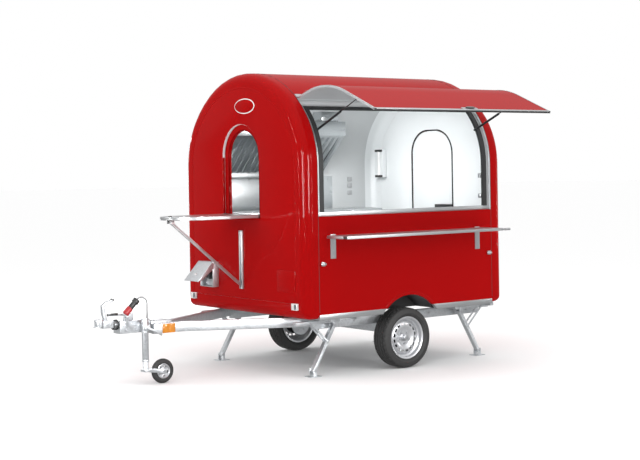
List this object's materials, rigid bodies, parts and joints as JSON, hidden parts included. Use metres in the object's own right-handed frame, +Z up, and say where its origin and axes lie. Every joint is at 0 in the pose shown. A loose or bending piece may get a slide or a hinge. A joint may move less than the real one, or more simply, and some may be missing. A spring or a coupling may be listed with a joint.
{
  "type": "catering trailer",
  "caption": "Red moulded catering trailer, towed: arched body with a raised serving canopy, front window flap, side shelf, A-frame drawbar, jockey wheel and corner steadies.",
  "frame": {"origin": "on the ground, under the middle of the overall box with the canopy, flap and shelf open", "axes": "+X forward to the coupling, +Y to the serving side, +Z up"},
  "size_m": [4.0844, 2.8276, 2.83],
  "materials": {
    "aluminium": "satin",
    "black_plastic": "matte",
    "black_steel": "satin",
    "floor_grey": "matte",
    "galvanised": "satin",
    "grey_frame": "satin",
    "grey_rubber": "matte",
    "grp_red": "gloss",
    "lamp_amber": "gloss",
    "lamp_red": "gloss",
    "lamp_white": "gloss",
    "rim_silver": "satin",
    "rubber": "matte",
    "stainless": "brushed",
    "tyre": "matte",
    "white_plastic": "satin"
  },
  "bodies": {
    "body": {"chassis_beams": "galvanised", "crossbars": "galvanised", "drawbar": "galvanised", "overrun_housing": "galvanised", "coupling": "galvanised", "coupling_handle": "galvanised", "handbrake_lever": "galvanised", "jockey_mast": "galvanised", "axle": "galvanised", "steady_mounts": "galvanised", "floor": "floor_grey", "front_cap": "grp_red", "front_wall": "grp_red", "window_recess": "grp_red", "rear_cap": "grp_red", "rear_wall": "grp_red", "roof_panel": "grp_red", "side_panel_left": "grp_red", "side_panel_right": "grp_red", "side_rails": "aluminium", "wheel_boxes": "black_plastic", "serving_frame": "grey_frame", "hinge_rail": "aluminium", "door_hinges": "aluminium", "flap_channel": "aluminium", "shelf_fittings": "aluminium", "inlet_box": "galvanised", "marker_lamps": "lamp_white", "drawbar_reflectors": "lamp_amber", "lead_plug": "black_plastic", "plug_lead": "grey_rubber", "rear_lamps": "lamp_red", "extraction_hood": "stainless", "cooking_bench": "stainless", "serving_counter": "stainless", "wall_unit": "white_plastic"},
    "left_wheel": {"tyre_left": "tyre", "wheel_left": "rim_silver"},
    "right_wheel": {"tyre_right": "tyre", "wheel_right": "rim_silver"},
    "jockey_swivel": {"jockey_fork": "galvanised"},
    "jockey_roller": {"jockey_wheel": "rubber"},
    "canopy_lid": {"canopy": "grp_red"},
    "front_strut_tube": {"strut_tube_front": "black_steel"},
    "front_strut_rod": {"strut_rod_front": "black_steel"},
    "rear_strut_tube": {"strut_tube_rear": "black_steel"},
    "rear_strut_rod": {"strut_rod_rear": "black_steel"},
    "window_flap": {"front_flap": "aluminium"},
    "stay": {"flap_stay": "aluminium"},
    "door": {"rear_door": "grp_red"},
    "shelf": {"side_shelf": "aluminium"},
    "inlet_cover": {"inlet_lid": "galvanised"},
    "front_left_leg": {"steady_leg_front_left": "galvanised"},
    "front_left_brace": {"steady_brace_front_left": "galvanised"},
    "front_right_leg": {"steady_leg_front_right": "galvanised"},
    "front_right_brace": {"steady_brace_front_right": "galvanised"},
    "rear_left_leg": {"steady_leg_rear_left": "galvanised"},
    "rear_left_brace": {"steady_brace_rear_left": "galvanised"},
    "rear_right_leg": {"steady_leg_rear_right": "galvanised"},
    "rear_right_brace": {"steady_brace_rear_right": "galvanised"}
  },
  "joints": [
    {"name": "left_wheel_spin", "type": "hinge", "parent": "body", "child": "left_wheel", "pos_m": [-0.78475, 0.45716, 0.288], "axis": [0, 1, 0], "continuous": true},
    {"name": "right_wheel_spin", "type": "hinge", "parent": "body", "child": "right_wheel", "pos_m": [-0.78475, -1.27884, 0.288], "axis": [0, 1, 0], "continuous": true},
    {"name": "jockey_swivel", "type": "hinge", "parent": "body", "child": "jockey_swivel", "pos_m": [1.59425, -0.29284, 0.19], "axis": [0, 0, 1], "continuous": true},
    {"name": "jockey_wheel_spin", "type": "hinge", "parent": "jockey_swivel", "child": "jockey_roller", "pos_m": [1.42225, -0.29284, 0.111], "axis": [0, 1, 0], "continuous": true},
    {"name": "canopy_hinge", "type": "hinge", "parent": "body", "child": "canopy_lid", "pos_m": [-0.78475, 0.29757, 2.5729], "axis": [1, 0, 0], "range_deg": [-67, 0]},
    {"name": "front_strut_tilt", "type": "hinge", "parent": "body", "child": "front_strut_tube", "pos_m": [0.20075, 0.47716, 2.27], "axis": [1, 0, 0], "range_deg": [-106.73, 0]},
    {"name": "front_strut_stroke", "type": "slide", "parent": "front_strut_tube", "child": "front_strut_rod", "axis": [0, 0.9175, 0.3977], "range_m": [-0.2074, 0]},
    {"name": "rear_strut_tilt", "type": "hinge", "parent": "body", "child": "rear_strut_tube", "pos_m": [-1.77025, 0.47716, 2.27], "axis": [1, 0, 0], "range_deg": [-106.73, 0]},
    {"name": "rear_strut_stroke", "type": "slide", "parent": "rear_strut_tube", "child": "rear_strut_rod", "axis": [0, 0.9175, 0.3977], "range_m": [-0.2074, 0]},
    {"name": "front_flap_hinge", "type": "hinge", "parent": "body", "child": "window_flap", "pos_m": [0.43775, -0.41084, 1.475], "axis": [0, 1, 0], "range_deg": [-90, 0]},
    {"name": "flap_stay_pivot", "type": "hinge", "parent": "window_flap", "child": "stay", "pos_m": [1.23775, -0.41084, 1.44], "axis": [0, 1, 0], "range_deg": [0, 38.73]},
    {"name": "rear_door_hinge", "type": "hinge", "parent": "body", "child": "door", "pos_m": [-2.03725, -0.73584, 0.61], "axis": [0, 0, 1], "range_deg": [0, 110]},
    {"name": "side_shelf_hinge", "type": "hinge", "parent": "body", "child": "shelf", "pos_m": [-0.78475, 0.63416, 1.2925], "axis": [1, 0, 0], "range_deg": [-90, 0]},
    {"name": "inlet_lid_hinge", "type": "hinge", "parent": "body", "child": "inlet_cover", "pos_m": [0.53075, -0.93584, 1.02], "axis": [0, 1, 0], "range_deg": [-75, 43]},
    {"name": "front_left_steady", "type": "hinge", "parent": "body", "child": "front_left_leg", "pos_m": [-0.03475, 0.35416, 0.458], "axis": [0, 1, 0], "range_deg": [-57, 0]},
    {"name": "front_left_steady_brace", "type": "hinge", "parent": "front_left_leg", "child": "front_left_brace", "pos_m": [0.05223, 0.35416, 0.31194], "axis": [0, 1, 0], "range_deg": [0, 91.48]},
    {"name": "front_right_steady", "type": "hinge", "parent": "body", "child": "front_right_leg", "pos_m": [-0.03475, -1.17584, 0.458], "axis": [0, 1, 0], "range_deg": [-57, 0]},
    {"name": "front_right_steady_brace", "type": "hinge", "parent": "front_right_leg", "child": "front_right_brace", "pos_m": [0.05223, -1.17584, 0.31194], "axis": [0, 1, 0], "range_deg": [0, 91.48]},
    {"name": "rear_left_steady", "type": "hinge", "parent": "body", "child": "rear_left_leg", "pos_m": [-1.63475, 0.35416, 0.458], "axis": [0, -1, 0], "range_deg": [-57, 0]},
    {"name": "rear_left_steady_brace", "type": "hinge", "parent": "rear_left_leg", "child": "rear_left_brace", "pos_m": [-1.72173, 0.35416, 0.31194], "axis": [0, -1, 0], "range_deg": [0, 91.48]},
    {"name": "rear_right_steady", "type": "hinge", "parent": "body", "child": "rear_right_leg", "pos_m": [-1.63475, -1.17584, 0.458], "axis": [0, -1, 0], "range_deg": [-57, 0]},
    {"name": "rear_right_steady_brace", "type": "hinge", "parent": "rear_right_leg", "child": "rear_right_brace", "pos_m": [-1.72173, -1.17584, 0.31194], "axis": [0, -1, 0], "range_deg": [0, 91.48]}
  ],
  "couplings": [
    {"joint": "front_strut_tilt", "follows": "canopy_hinge", "ratio": 1.5781},
    {"joint": "front_strut_stroke", "follows": "canopy_hinge", "m_per_rad": 0.17566},
    {"joint": "rear_strut_tilt", "follows": "canopy_hinge", "ratio": 1.5781},
    {"joint": "rear_strut_stroke", "follows": "canopy_hinge", "m_per_rad": 0.17566},
    {"joint": "flap_stay_pivot", "follows": "front_flap_hinge", "ratio": -0.42482},
    {"joint": "front_left_steady_brace", "follows": "front_left_steady", "ratio": -1.5961},
    {"joint": "front_right_steady_brace", "follows": "front_right_steady", "ratio": -1.5961},
    {"joint": "rear_left_steady_brace", "follows": "rear_left_steady", "ratio": -1.5961},
    {"joint": "rear_right_steady_brace", "follows": "rear_right_steady", "ratio": -1.5961}
  ]
}
